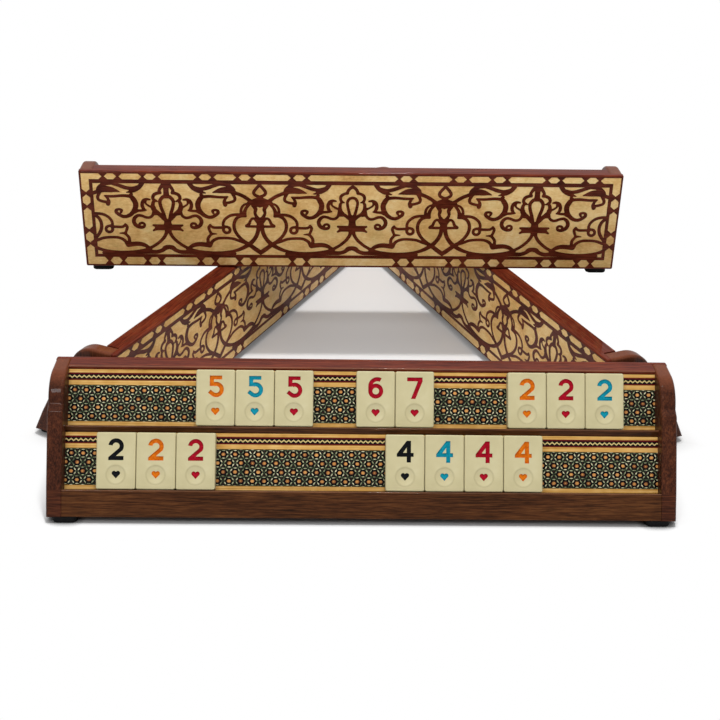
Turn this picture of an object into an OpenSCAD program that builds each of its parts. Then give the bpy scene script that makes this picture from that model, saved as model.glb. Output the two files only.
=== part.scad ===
// Set of four two-tier wooden racks for a tile rummy game, with fifteen numbered tiles.
// Millimetres, +Z up. The origin is on the floor, under the middle of the whole set.
// The front rack faces -Y, two side racks run back from it and meet, the fourth lies on those two.

/* [Rack] */
// Length of a rack, over its end caps
rack_len = 400; // [355:5:480]
// Thickness of an end cap
cap_t = 10; // [7:0.5:11]
// Height of the base rail's front face
rail_rise = 15.8; // [12:0.2:24]
// Lean of the base rail's front face from upright, degrees
rail_lean = 26.3; // [10:0.1:30]
// Lean of the tile panels from upright, degrees
panel_lean = 31.5; // [26:0.5:38]
// Depth of a tile ledge, from its nose to the panel
ledge = 9; // [8.4:0.1:13]
// How far a tile panel's slope is longer than the tile that leans on it
panel_over = 0.2; // [0.2:0.2:8]
// Thickness of a tile panel
panel_t = 4; // [2.5:0.5:6]
// Height of the mid rail's front face
mid_face = 5.1; // [3:0.1:10]
// Height of the top rail's front face
top_face = 2.44; // [1.6:0.02:6]
// Width of the rack's flat top, from the top rail's front edge to the back
top_flat = 13.6; // [10:0.2:24]
// Thickness of the back panel
back_t = 4; // [2.5:0.5:6]
// Thickness of the bottom board
board_t = 4; // [2.5:0.5:6]

/* [End cap outline] */
// Lean of the cap's front edge above the base rail, degrees
cap_lean = 29.25; // [24:0.25:32]
// Drop from the rack's top to the shoulder in the cap's outline
shoulder_drop = 16.7; // [12:0.1:22]
// Depth of the shoulder
shoulder_in = 5; // [2:0.5:6]
// Rise of the shoulder
shoulder_up = 2.4; // [1:0.2:4]
// Width of the cap's flat top, behind its rounded corner
cap_flat = 17.6; // [15:0.2:22]

/* [Foot pads] */
// Width and depth of a square foot pad
pad_w = 15.4; // [10:0.2:20]
// Thickness of a foot pad
pad_h = 4.5; // [2:0.5:6]
// Radius of a pad's upright corners
pad_r = 3.5; // [1:0.5:4.5]
// Distance from the rack's ends to a pad
pad_inset = 3.8; // [2:0.2:10]
// Distance from the rack's front edge to the front pads
pad_front = 0.5; // [0.5:0.5:6]
// Distance from the rack's back to the back pads
pad_back = 4; // [1:0.5:8]

/* [Tiles] */
// Width of a tile
tile_w = 24.8; // [18:0.1:24.8]
// Height of a tile
tile_h = 36; // [34:0.5:42]
// Thickness of a tile
tile_t = 7.6; // [5:0.1:8]
// Radius of a tile's corners
tile_r = 1.3; // [0.5:0.1:3]
// Gap between neighbouring tiles
tile_gap = 0.3; // [0.2:0.1:0.6]
// Clearance between a tile and the ledge and panel that carry it
tile_clear = 0.3; // [0.2:0.05:0.6]
// Height of an engraved digit
digit_h = 13.8; // [9:0.1:14.5]
// Stroke width of an engraved digit
stroke = 2.7; // [1.5:0.05:2.8]
// Depth of the engraving
engrave = 0.6; // [0.3:0.1:1.5]
// Distance from the tile's top edge to the digit
digit_top = 3.8; // [2:0.1:5]
// Diameter of the round dimple
dimple_d = 12; // [8:0.5:12]
// Depth of the dimple
dimple_depth = 1.1; // [0.5:0.1:2]
// Distance from the tile's bottom edge to the dimple's centre
dimple_up = 9.4; // [7:0.1:10]
// Width of the small heart in the dimple
heart_w = 5.3; // [3:0.1:6]

/* [Tile places] */
// Gap from the left cap to the upper row's first group
upper_left = 82.7; // [2:0.1:100]
// Start of the upper row's second group, from the middle of the rack
upper_mid = -4.7; // [-25:0.1:40]
// Gap from the upper row's third group to the right cap
upper_right = 22.2; // [2:0.1:40]
// Gap from the left cap to the lower row's first group
lower_left = 21.2; // [2:0.1:100]
// Gap from the lower row's second group to the right cap
lower_right = 75.8; // [2:0.1:150]

/* [Layout of the four racks] */
// Turn of the left rack from square, degrees
left_turn = 25.4; // [18:0.1:30]
// Turn of the right rack from square, degrees
right_turn = 22.7; // [18:0.1:30]
// Sideways shift of the pair of side racks
pair_shift = -0.6; // [-10:0.2:10]
// Clearance between racks that stand against each other
rack_clear = 0.5; // [0.3:0.1:2]
// Clearance between the top rack and the racks that carry it
stack_clear = 0.2; // [0.1:0.05:0.5]
// Distance from the front rack's back to the top rack's back
top_behind = 144.9; // [100:0.1:200]
// Sideways shift of the top rack
top_shift = -6.4; // [-20:0.2:20]
// Turn of the top rack from square, degrees
top_turn = 0.7; // [-3:0.05:3]

/* [Hidden] */
$fn = 64;
RACKS = ["front", "left", "right", "top"];
PIECES = ["left_cap", "right_cap", "base_rail", "bottom_board", "lower_panel",
          "mid_rail", "upper_panel", "top_rail", "back_panel", "pads"];

// Cross-section points of a rack, as [y, z]: up the slope, and along a ledge towards its panel
up = [sin(panel_lean), cos(panel_lean)];
in = [cos(panel_lean), -sin(panel_lean)];
panel_rise = tile_h + panel_over;
nose_low = [rail_rise * tan(rail_lean), pad_h + rail_rise];
foot_low = nose_low + ledge * in;
head_low = foot_low + panel_rise * up;
nose_high = head_low + [0, mid_face];
foot_high = nose_high + ledge * in;
head_high = foot_high + panel_rise * up;
rack_h = head_high[1] + top_face;
rack_d = head_high[0] + top_flat;
inner_len = rack_len - 2 * cap_t;
back_in = rack_d - back_t;

// Starts of the tile groups, from the inner face of the left cap
function group_len(tiles) = tiles * (tile_w + tile_gap) - tile_gap;
upper_a = upper_left;
upper_b = inner_len / 2 + upper_mid;
upper_c = inner_len - upper_right - group_len(3);
lower_a = lower_left;
lower_b = inner_len - lower_right - group_len(4);

// Each tile: its name, digit, tier (0 lower, 1 upper), its group's start and its place in the group
TILES = [
    ["tile_5_orange", 5, 1, upper_a, 0],
    ["tile_5_teal", 5, 1, upper_a, 1],
    ["tile_5_red", 5, 1, upper_a, 2],
    ["tile_6_red", 6, 1, upper_b, 0],
    ["tile_7_red", 7, 1, upper_b, 1],
    ["tile_2_orange_upper", 2, 1, upper_c, 0],
    ["tile_2_red_upper", 2, 1, upper_c, 1],
    ["tile_2_teal", 2, 1, upper_c, 2],
    ["tile_2_black", 2, 0, lower_a, 0],
    ["tile_2_orange_lower", 2, 0, lower_a, 1],
    ["tile_2_red_lower", 2, 0, lower_a, 2],
    ["tile_4_black", 4, 0, lower_b, 0],
    ["tile_4_teal", 4, 0, lower_b, 1],
    ["tile_4_red", 4, 0, lower_b, 2],
    ["tile_4_orange", 4, 0, lower_b, 3]
];

// Cap outline
shoulder = nose_low + (rack_h - shoulder_drop - nose_low[1]) * [tan(cap_lean), 1];
dome_start = shoulder + [shoulder_in, shoulder_up];
dome_end = [rack_d - cap_flat, rack_h];
dome_run = dome_end - dome_start;
dome_r = (dome_run * dome_run) / (2 * dome_run[1]);

// Side racks: the distance between their near corners that closes the yard at its far end
foot_span = (rack_clear + rack_len * sin(left_turn + right_turn)) / cos(right_turn);
near_left = -foot_span / 2 + pair_shift;
near_right = foot_span / 2 + pair_shift;
pair_y = rack_d + rack_clear;
stack_z = rack_h - pad_h + stack_clear;

// Middle of the set's outline on the floor, from the front rack's front edge
reach_left = min(near_left - rack_d * cos(left_turn), -rack_len / 2);
reach_right = max(near_right + rack_d * cos(right_turn), rack_len / 2);
reach_back = pair_y + max([for (a = [left_turn, right_turn]) rack_d * sin(a) + rack_len * cos(a)]);
middle = [(reach_left + reach_right) / 2, reach_back / 2, 0];

walnut = "#4a2a1b";
mahogany = "#7a3527";
marquetry = "#6f6a45";
honey = "#cfae6d";
rubber = "#161616";
cream = "#d8cfae";

// Puts a rack, drawn facing -Y with its front edge on the X axis, in its place
module place_rack(rack) {
    if (rack == "front")
        translate(-middle) children();
    if (rack == "left")
        translate([near_left, pair_y, 0] - middle) rotate(-90 - left_turn)
            translate([-rack_len / 2, -rack_d, 0]) children();
    if (rack == "right")
        translate([near_right, pair_y, 0] - middle) rotate(90 + right_turn)
            translate([rack_len / 2, -rack_d, 0]) children();
    if (rack == "top")
        translate([top_shift, rack_d + top_behind, stack_z] - middle) rotate(180 + top_turn)
            translate([0, -rack_d, 0]) children();
}

// Extrudes an outline drawn in y and z along X, from one x to another
module along_x(from, to) {
    translate([from, 0, 0]) rotate([90, 0, 90]) linear_extrude(to - from) children();
}

module cap_dome() {
    intersection() {
        translate(dome_end - [0, dome_r]) circle(dome_r);
        translate([dome_start[0], shoulder[1]]) square([dome_run[0], shoulder_drop]);
    }
}

// An end cap: its straight-edged outline, with the rounded top that overlaps it
module cap(from, to) {
    along_x(from, to)
        polygon([[0, pad_h], nose_low, shoulder, dome_start, dome_end, [back_in, rack_h], [back_in, pad_h]]);
    along_x(from, to) cap_dome();
}

module left_cap() {
    color(walnut) cap(-rack_len / 2, -inner_len / 2);
}

module right_cap() {
    color(walnut) cap(inner_len / 2, rack_len / 2);
}

module base_rail() {
    rear = foot_low + panel_t * in;
    color(walnut) along_x(-inner_len / 2, inner_len / 2)
        polygon([[0, pad_h], nose_low, rear, [rear[0], pad_h]]);
}

module bottom_board() {
    front = foot_low[0] + panel_t * in[0];
    color(walnut) translate([-inner_len / 2, front, pad_h])
        cube([inner_len, back_in - front, board_t]);
}

// A sloping tile panel, standing on the ledge line
module tile_panel(foot, head) {
    color(marquetry) along_x(-inner_len / 2, inner_len / 2)
        polygon([foot, head, head + panel_t * in, foot + panel_t * in]);
}

module lower_panel() {
    tile_panel(foot_low, head_low);
}

module upper_panel() {
    tile_panel(foot_high, head_high);
}

// The mid rail lies on the lower panel's head, and its top is the upper ledge
module mid_rail() {
    rear = foot_high + panel_t * in;
    rail_t = mid_face * cos(panel_lean);
    color(walnut) along_x(-inner_len / 2, inner_len / 2)
        polygon([head_low, nose_high, rear, rear - rail_t * up]);
}

module top_rail() {
    run = (back_in - head_high[0]) / in[0];
    color(mahogany) along_x(-inner_len / 2, inner_len / 2)
        polygon([head_high, [head_high[0], rack_h], [back_in, rack_h], head_high + run * in]);
}

module back_panel() {
    color(honey) translate([-rack_len / 2, back_in, pad_h])
        cube([rack_len, back_t, rack_h - pad_h]);
}

// Four pads under a rack. The front ones stand almost flush with the base rail.
module pads() {
    side = rack_len / 2 - pad_inset - pad_w / 2;
    color(rubber)
        for (x = [-side, side])
            for (y = [pad_front, rack_d - pad_back - pad_w])
                translate([x, y, 0]) linear_extrude(pad_h) rounded_plate(pad_w, pad_w, pad_r);
}

// A ring sector from one angle to another, less than 300 degrees apart
module arc(r_out, from, to) {
    reach = 2 * r_out;
    step = (to - from) / 4;
    intersection() {
        difference() {
            circle(r_out);
            circle(r_out - stroke);
        }
        polygon(concat([[0, 0]], [for (i = [0:4]) reach * [cos(from + i * step), sin(from + i * step)]]));
    }
}

// Digits are drawn about their own middle in x, with y = 0 at the foot
module digit_2() {
    r = 0.355 * digit_h;
    mid = digit_h - r;
    tail = -38;
    lap = 5;
    skin = 0.04;
    out_end = [0, mid] + (r - skin) * [cos(tail + lap), sin(tail + lap)];
    in_end = [0, mid] + (r - stroke + skin) * [cos(tail + lap), sin(tail + lap)];
    half = 0.98 * r;
    heel = [-half, 0.7 * stroke];
    slope = (in_end[1] - heel[1]) / (in_end[0] - heel[0]);
    knee = out_end[0] - (out_end[1] - stroke) / slope;
    translate([0, mid]) arc(r, tail, 172);
    polygon([in_end, out_end, [knee, stroke], [half, stroke], [half, 0], [-half, 0], heel]);
}

module digit_4() {
    half = 0.39 * digit_h;
    stem = 0.07 * digit_h;
    bar = 0.26 * digit_h;
    bar_top = bar + 0.94 * stroke;
    difference() {
        polygon([[-half, bar], [-half, bar + 0.7 * stroke], [stem, digit_h], [stem + stroke, digit_h],
                 [stem + stroke, bar_top], [half, bar_top], [half, bar], [stem + stroke, bar],
                 [stem + stroke, 0], [stem, 0], [stem, bar]]);
        polygon([[stem - 0.17 * digit_h, bar_top], [stem, bar_top + 0.24 * digit_h], [stem, bar_top]]);
    }
}

module digit_5() {
    r = 0.355 * digit_h;
    side = -0.27 * digit_h;
    bowl = [0.03 * digit_h, r];
    foot = -128;
    lap = 5;
    skin = 0.04;
    tail = 0.2 * digit_h * [sin(foot), -cos(foot)];
    start = [cos(foot + lap), sin(foot + lap)];
    end = [cos(foot), sin(foot)];
    translate(bowl) arc(r, foot, 118);
    polygon([bowl + (r - skin) * start, bowl + (r - stroke + skin) * start,
             bowl + (r - stroke + skin) * end + tail, bowl + (r - skin) * end + tail]);
    translate([side, 1.45 * r]) square([stroke, digit_h - 1.45 * r]);
    translate([side, digit_h - 0.9 * stroke]) square([0.57 * digit_h, 0.9 * stroke]);
}

module digit_6() {
    r = 0.35 * digit_h;
    sweep = 0.425 * digit_h;
    difference() {
        union() {
            translate([0, r]) circle(r);
            translate([-r, r]) square([stroke, digit_h - sweep - r]);
        }
        translate([0, r]) circle(r - stroke);
    }
    translate([sweep - r, digit_h - sweep]) arc(sweep, 62, 180);
}

module digit_7() {
    half = 0.36 * digit_h;
    bar = digit_h - 0.92 * stroke;
    polygon([[-half, digit_h], [half, digit_h], [half, bar], [0.03 * digit_h, 0],
             [0.03 * digit_h - 1.05 * stroke, 0], [half - 1.12 * stroke, bar], [-half, bar]]);
}

module digit(n) {
    if (n == 2) digit_2();
    if (n == 4) digit_4();
    if (n == 5) digit_5();
    if (n == 6) digit_6();
    if (n == 7) digit_7();
}

// A heart of the given width, about its own middle
module heart(w) {
    r = 0.27 * w;
    lobe = w / 2 - r;
    for (x = [-lobe, lobe])
        translate([x, 0.16 * w]) circle(r);
    polygon([[-0.46 * w, 0.02 * w], [0, 0.26 * w], [0.46 * w, 0.02 * w], [0, -0.48 * w]]);
}

module rounded_plate(w, h, r) {
    translate([-w / 2, r]) square([w, h - 2 * r]);
    translate([-w / 2 + r, 0]) square([w - 2 * r, h]);
    for (x = [-w / 2 + r, w / 2 - r])
        for (y = [r, h - r])
            translate([x, y]) circle(r, $fn = 32);
}

// A tile lying on its back, its foot edge on the X axis and its face up
module flat_tile(n) {
    ball_r = (dimple_d * dimple_d / 4 + dimple_depth * dimple_depth) / (2 * dimple_depth);
    difference() {
        linear_extrude(tile_t) rounded_plate(tile_w, tile_h, tile_r);
        translate([0, tile_h - digit_top - digit_h, tile_t - engrave])
            linear_extrude(2 * engrave) digit(n);
        translate([0, dimple_up, tile_t - dimple_depth + ball_r]) sphere(ball_r);
        translate([0, dimple_up, tile_t - dimple_depth - engrave / 2])
            linear_extrude(dimple_depth + engrave) heart(heart_w);
    }
}

// A tile on its ledge, leaning on the panel behind it
module tile(t) {
    foot = (t[2] == 1 ? foot_high : foot_low) + tile_clear * (up - in);
    x = -inner_len / 2 + t[3] + tile_w / 2 + t[4] * (tile_w + tile_gap);
    color(cream) place_rack("front") translate([x, foot[0], foot[1]])
        rotate([90 - panel_lean, 0, 0]) flat_tile(t[1]);
}

for (r = RACKS) {
    place_rack(r) left_cap();
    place_rack(r) right_cap();
    place_rack(r) base_rail();
    place_rack(r) bottom_board();
    place_rack(r) lower_panel();
    place_rack(r) mid_rail();
    place_rack(r) upper_panel();
    place_rack(r) top_rail();
    place_rack(r) back_panel();
    place_rack(r) pads();
}
for (t = TILES)
    tile(t);
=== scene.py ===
"""Looks for a set of four two-tier rummy racks and fifteen tiles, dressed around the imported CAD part.

Sizes and places are millimetres in the frame of one rack, as in the CAD source: x along the rack, y from
its front edge to its back, z up. MM turns them into Blender's metres, and RACKS puts a rack in its place.
"""

import math

import bmesh
import bpy
import numpy as np
from mathutils import Matrix, Vector
from mathutils.geometry import convex_hull_2d, delaunay_2d_cdt


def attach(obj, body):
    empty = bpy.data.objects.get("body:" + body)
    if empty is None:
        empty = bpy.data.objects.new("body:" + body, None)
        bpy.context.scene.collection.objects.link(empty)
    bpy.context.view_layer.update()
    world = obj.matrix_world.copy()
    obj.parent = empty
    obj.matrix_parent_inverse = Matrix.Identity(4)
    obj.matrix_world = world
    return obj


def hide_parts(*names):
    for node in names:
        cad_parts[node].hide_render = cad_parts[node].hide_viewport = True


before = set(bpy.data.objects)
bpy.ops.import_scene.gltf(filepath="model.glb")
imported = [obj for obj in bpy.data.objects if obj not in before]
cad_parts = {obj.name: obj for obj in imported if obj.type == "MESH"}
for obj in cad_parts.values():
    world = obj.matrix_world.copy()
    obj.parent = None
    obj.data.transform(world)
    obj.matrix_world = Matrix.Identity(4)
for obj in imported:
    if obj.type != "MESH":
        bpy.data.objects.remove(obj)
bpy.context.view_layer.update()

MM = 0.001

# ---------------------------------------------------------------- the rack, as in the CAD source
RACK_LEN, CAP_T, PAD_H, BACK_T = 400.0, 10.0, 4.5, 4.0
PANEL_LEAN, PANEL_RISE, LEDGE = math.radians(31.5), 36.2, 9.0
UP = np.array([math.sin(PANEL_LEAN), math.cos(PANEL_LEAN)])
IN = np.array([math.cos(PANEL_LEAN), -math.sin(PANEL_LEAN)])
NOSE_LOW = np.array([15.8 * math.tan(math.radians(26.3)), PAD_H + 15.8])
FOOT_LOW = NOSE_LOW + LEDGE * IN
HEAD_LOW = FOOT_LOW + PANEL_RISE * UP
NOSE_HIGH = HEAD_LOW + [0, 5.1]
FOOT_HIGH = NOSE_HIGH + LEDGE * IN
HEAD_HIGH = FOOT_HIGH + PANEL_RISE * UP
RACK_H = HEAD_HIGH[1] + 2.44
RACK_D = HEAD_HIGH[0] + 13.6
BACK_IN = RACK_D - BACK_T
INNER_LEN = RACK_LEN - 2 * CAP_T

# The round dimple in a tile's face: its diameter and how far its centre lies above the tile's foot
DIMPLE_D, DIMPLE_UP = 12.0, 9.4

# ---------------------------------------------------------------- the four racks' places
LEFT_TURN, RIGHT_TURN, RACK_CLEAR = 25.4, 22.7, 0.5
PAIR_SHIFT, TOP_BEHIND, TOP_SHIFT, TOP_TURN = -0.6, 144.9, -6.4, 0.7
PAIR_Y = RACK_D + RACK_CLEAR
STACK_Z = RACK_H - PAD_H + 0.2
BOTH_TURNS = math.radians(LEFT_TURN + RIGHT_TURN)
HALF_SPAN = (RACK_CLEAR + RACK_LEN * math.sin(BOTH_TURNS)) / math.cos(math.radians(RIGHT_TURN)) / 2


def reach(turn, along, across):
    """How far a turned rack's corner lies from its near corner, in y and in x."""
    a = math.radians(turn)
    return across * math.sin(a) + along * math.cos(a), across * math.cos(a)


LEFT_X = min(-HALF_SPAN + PAIR_SHIFT - reach(LEFT_TURN, RACK_LEN, RACK_D)[1], -RACK_LEN / 2)
RIGHT_X = max(HALF_SPAN + PAIR_SHIFT + reach(RIGHT_TURN, RACK_LEN, RACK_D)[1], RACK_LEN / 2)
BACK_Y = PAIR_Y + max(reach(turn, RACK_LEN, RACK_D)[0] for turn in (LEFT_TURN, RIGHT_TURN))
MIDDLE = Vector(((LEFT_X + RIGHT_X) / 2, BACK_Y / 2, 0))


def placed(at, turn, shift):
    """The matrix that shifts a rack, turns it about Z and puts it at a point of the set."""
    return (Matrix.Translation((Vector(at) - MIDDLE) * MM) @ Matrix.Rotation(math.radians(turn), 4, "Z")
            @ Matrix.Translation(Vector(shift) * MM))


RACKS = {
    "front": placed((0, 0, 0), 0, (0, 0, 0)),
    "left": placed((-HALF_SPAN + PAIR_SHIFT, PAIR_Y, 0), -90 - LEFT_TURN, (-RACK_LEN / 2, -RACK_D, 0)),
    "right": placed((HALF_SPAN + PAIR_SHIFT, PAIR_Y, 0), 90 + RIGHT_TURN, (RACK_LEN / 2, -RACK_D, 0)),
    "top": placed((TOP_SHIFT, RACK_D + TOP_BEHIND, STACK_Z), 180 + TOP_TURN, (0, -RACK_D, 0)),
}


def on_slope(foot):
    """A frame on a tile panel's face, in its rack: X along the rack, Y up the slope, Z out of the face."""
    axes = Matrix(((1, 0, 0), (0, UP[0], -IN[0]), (0, UP[1], -IN[1]))).to_4x4()
    return Matrix.Translation(Vector((0, foot[0], foot[1])) * MM) @ axes


# ---------------------------------------------------------------- materials
def linear(hex_colour):
    """A written sRGB colour as the linear RGBA that a shader takes."""
    channels = [int(hex_colour[i:i + 2], 16) / 255 for i in (1, 3, 5)]
    return [c / 12.92 if c <= 0.04045 else ((c + 0.055) / 1.055) ** 2.4 for c in channels] + [1.0]


class Tree:
    """The node tree of a material or a world, with short calls for the nodes that the finishes share."""

    def __init__(self, block):
        self.block = block
        block.use_nodes = True
        self.nodes, self.links = block.node_tree.nodes, block.node_tree.links

    def add(self, kind, inputs=(), **settings):
        node = self.nodes.new(kind)
        for key, value in settings.items():
            setattr(node, key, value)
        for key, value in dict(inputs).items():
            self.feed(node.inputs[key], value)
        return node

    def feed(self, socket, value):
        if isinstance(value, Value):
            value = value.socket
        if isinstance(value, bpy.types.NodeSocket):
            self.links.new(value, socket)
        else:
            socket.default_value = value

    def set(self, **inputs):
        """Sets the shader's own sockets; an underscore stands for a space."""
        for key, value in inputs.items():
            self.feed(self.shader.inputs[key.replace("_", " ")], value)

    def axes(self):
        """The object's own coordinates in millimetres, as three values."""
        split = self.add("ShaderNodeSeparateXYZ", {"Vector": self.place})
        return [Value(self, split.outputs[i]) / MM for i in range(3)]

    def scaled(self, x, y, z):
        return self.add("ShaderNodeMapping", {"Vector": self.place, "Scale": (x, y, z)}).outputs[0]

    def noise(self, vector, scale, detail=3.0, roughness=0.55, distortion=0.0):
        node = self.add("ShaderNodeTexNoise", {"Vector": vector, "Scale": scale, "Detail": detail,
                                               "Roughness": roughness, "Distortion": distortion})
        return Value(self, node.outputs["Fac"])

    def ramp(self, value, *stops):
        node = self.add("ShaderNodeValToRGB", {"Fac": value})
        elements = node.color_ramp.elements
        while len(elements) < len(stops):
            elements.new(0.5)
        for element, (position, colour) in zip(elements, stops):
            element.position = position
            element.color = linear(colour)
        return node.outputs["Color"]

    def mix(self, value, a, b):
        """Colour a where value is 0 and b where it is 1."""
        node = self.add("ShaderNodeMix", data_type="RGBA")
        self.feed(node.inputs["Factor"], value)
        self.feed(node.inputs["A"], linear(a) if isinstance(a, str) else a)
        self.feed(node.inputs["B"], linear(b) if isinstance(b, str) else b)
        return node.outputs["Result"]

    def bump(self, height, distance, strength=1.0):
        node = self.add("ShaderNodeBump", {"Height": height, "Distance": distance * MM, "Strength": strength})
        return node.outputs["Normal"]


class Value:
    """A number in a node tree. Arithmetic on it adds Math nodes."""

    def __init__(self, tree, socket):
        self.tree, self.socket = tree, socket

    def math(self, operation, *others, clamp=False):
        node = self.tree.add("ShaderNodeMath", operation=operation, use_clamp=clamp)
        for i, value in enumerate((self, *others)):
            self.tree.feed(node.inputs[i], value)
        return Value(self.tree, node.outputs[0])

    def __add__(self, other): return self.math("ADD", other)
    def __sub__(self, other): return self.math("SUBTRACT", other)
    def __mul__(self, other): return self.math("MULTIPLY", other)
    def __truediv__(self, other): return self.math("DIVIDE", other)
    def __lt__(self, other): return self.math("LESS_THAN", other)
    def __gt__(self, other): return self.math("GREATER_THAN", other)
    def __abs__(self): return self.math("ABSOLUTE")
    def __rsub__(self, other): return self * -1.0 + other

    def wrap(self, low, high): return self.math("WRAP", high, low)
    def between(self, low, high): return (self > low) * (self < high)
    def step(self, edge, soft):
        """0 below edge and 1 above it, over a soft band."""
        return ((self - edge) / soft + 0.5).math("ADD", 0.0, clamp=True)


# Weight of the lacquer's coat on a face seen straight on, and at a slant
COAT_AHEAD, COAT_ASLANT = 0.12, 0.28


def material_tree(name):
    """A new material's tree, with its shader and the object's own coordinates at hand."""
    tree = Tree(bpy.data.materials.new(name))
    tree.shader = tree.nodes["Principled BSDF"]
    tree.place = tree.add("ShaderNodeTexCoord").outputs["Object"]
    return tree


def lacquer(tree):
    """A thin hard gloss that mirrors at a slant, and hardly veils a face seen straight on."""
    slant = Value(tree, tree.add("ShaderNodeLayerWeight", {"Blend": 0.5}).outputs["Facing"])
    weight = slant.step(0.32, 0.44) * (COAT_ASLANT - COAT_AHEAD) + COAT_AHEAD
    tree.set(Roughness=0.5, Specular_IOR_Level=0.02, Coat_Weight=weight, Coat_Roughness=0.04, Coat_IOR=1.5)


# The rails' rounded front edges, painted paler along them as a highlight, and how wide that painted highlight shows
HIGHLIGHT_NOSES = ((NOSE_LOW, 0.8), (NOSE_HIGH, 1.3), ([HEAD_HIGH[0], RACK_H], 1.0))


def wood(name, dark, body, light, upright=False, contrast=1.0):
    """Straight-grained wood under lacquer, its grain along the object's X, or Z where upright."""
    tree = material_tree(name)
    _, across_y, across_z = tree.axes()

    def along(fine, across):
        """Coordinates stretched along the grain. Upright grain lies flat again below the base rail's top."""
        flat = tree.scaled(fine, across, across)
        if not upright:
            return flat
        node = tree.add("ShaderNodeMix", {"Factor": across_z < NOSE_LOW[1]}, data_type="VECTOR")
        tree.feed(node.inputs["A"], tree.scaled(across, across, fine))
        tree.feed(node.inputs["B"], flat)
        return next(out for out in node.outputs if out.type == "VECTOR")

    drift = tree.noise(along(3, 12), 5.0, detail=2)
    grain = tree.noise(along(12, 240), 3.0, detail=5, roughness=0.68, distortion=0.5)
    broad = tree.noise(along(4, 55), 3.0, detail=3, distortion=0.9)
    pores = tree.noise(along(40, 700), 2.0, detail=2, roughness=0.7)
    tone = ((grain - 0.5) * 0.6 + (broad - 0.5) * 0.2 + (drift - 0.5) * 0.25) * contrast + 0.5
    colour = tree.ramp(tone, (0.34, dark), (0.50, body), (0.68, light))
    colour = tree.mix(pores.step(0.58, 0.16) * 0.6, colour, dark)
    colour = tree.mix((1.0 - pores.step(0.42, 0.14)) * 0.3, colour, light)
    if not upright:
        # Painted highlight: a paler line along each rail's rounded front edge, broken up by the broad grain
        for (y, z), width in HIGHLIGHT_NOSES:
            off_y, off_z = across_y - y, across_z - z
            nose_highlight = (1.0 - (off_y * off_y + off_z * off_z).math("SQRT") / width).math("MAXIMUM", 0.0)
            colour = tree.mix(nose_highlight * broad, colour, "#a87a60")
    else:
        # Painted light: each cap's top paler and redder, as if lit from above
        painted_top_light = across_z.step(RACK_H - 3, 5)
        colour = tree.mix(painted_top_light * 0.28, colour, "#a45a3a")
    tree.set(Base_Color=colour)
    lacquer(tree)
    tree.set(Normal=tree.bump(grain * 0.6 + pores * 0.4, 0.02))
    return tree.block


def honey_wood():
    """Mottled honey-coloured burl veneer."""
    tree = material_tree("honey_veneer")
    cloud = tree.noise(tree.scaled(1, 1, 1), 26.0, detail=4, roughness=0.6, distortion=1.2)
    fibre = tree.noise(tree.scaled(60, 260, 260), 3.0, detail=4, roughness=0.65, distortion=1.5)
    fleck = tree.noise(tree.scaled(1, 1, 1), 420.0, detail=3, roughness=0.6)
    tone = cloud * 0.55 + fibre * 0.3 + fleck * 0.15
    colour = tree.ramp(tone, (0.32, "#b6844a"), (0.46, "#dcb06e"), (0.55, "#edca8b"), (0.68, "#f7e0ac"))
    green = tree.noise(tree.scaled(1, 1, 1), 48.0, detail=2)
    colour = tree.mix(green.step(0.6, 0.14) * 0.25, colour, "#c3ad6c")
    tree.set(Base_Color=colour)
    lacquer(tree)
    tree.set(Normal=tree.bump(fibre, 0.02))
    return tree.block


def strapwork_wood():
    """Dark reddish inlay wood, fine grained."""
    tree = material_tree("strapwork_inlay")
    grain = tree.noise(tree.scaled(30, 240, 240), 3.0, detail=4, roughness=0.6, distortion=0.8)
    cloud = tree.noise(tree.scaled(1, 1, 1), 60.0, detail=2)
    colour = tree.ramp(grain * 0.6 + cloud * 0.4, (0.32, "#36130a"), (0.50, "#582416"), (0.70, "#783824"))
    tree.set(Base_Color=colour)
    lacquer(tree)
    return tree.block


# The star field's lattice, and the bands above and below it, measured up the slope
STAR_PITCH, STAR_ROWS, STAR_FOOT, STAR_HEAD = 7.44, 5.65, 2.75, 26.0
# A star from its middle outwards: bright core, orange body, dark ring, pale strokes and the line round it
STAR_CORE, STAR_BODY, STAR_RING = 0.3, 1.1, 1.36
STROKE_OUT, STROKE_WIDE, STROKE_LONG, RIM_LINE = 2.8, 0.39, 1.3, 0.08
ZIGZAG_PITCH, ZIGZAG_LOW, ZIGZAG_HIGH = 3.08, 29.9, 33.0
RED_LOW, RED_HIGH = 29.1, 34.0


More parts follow.
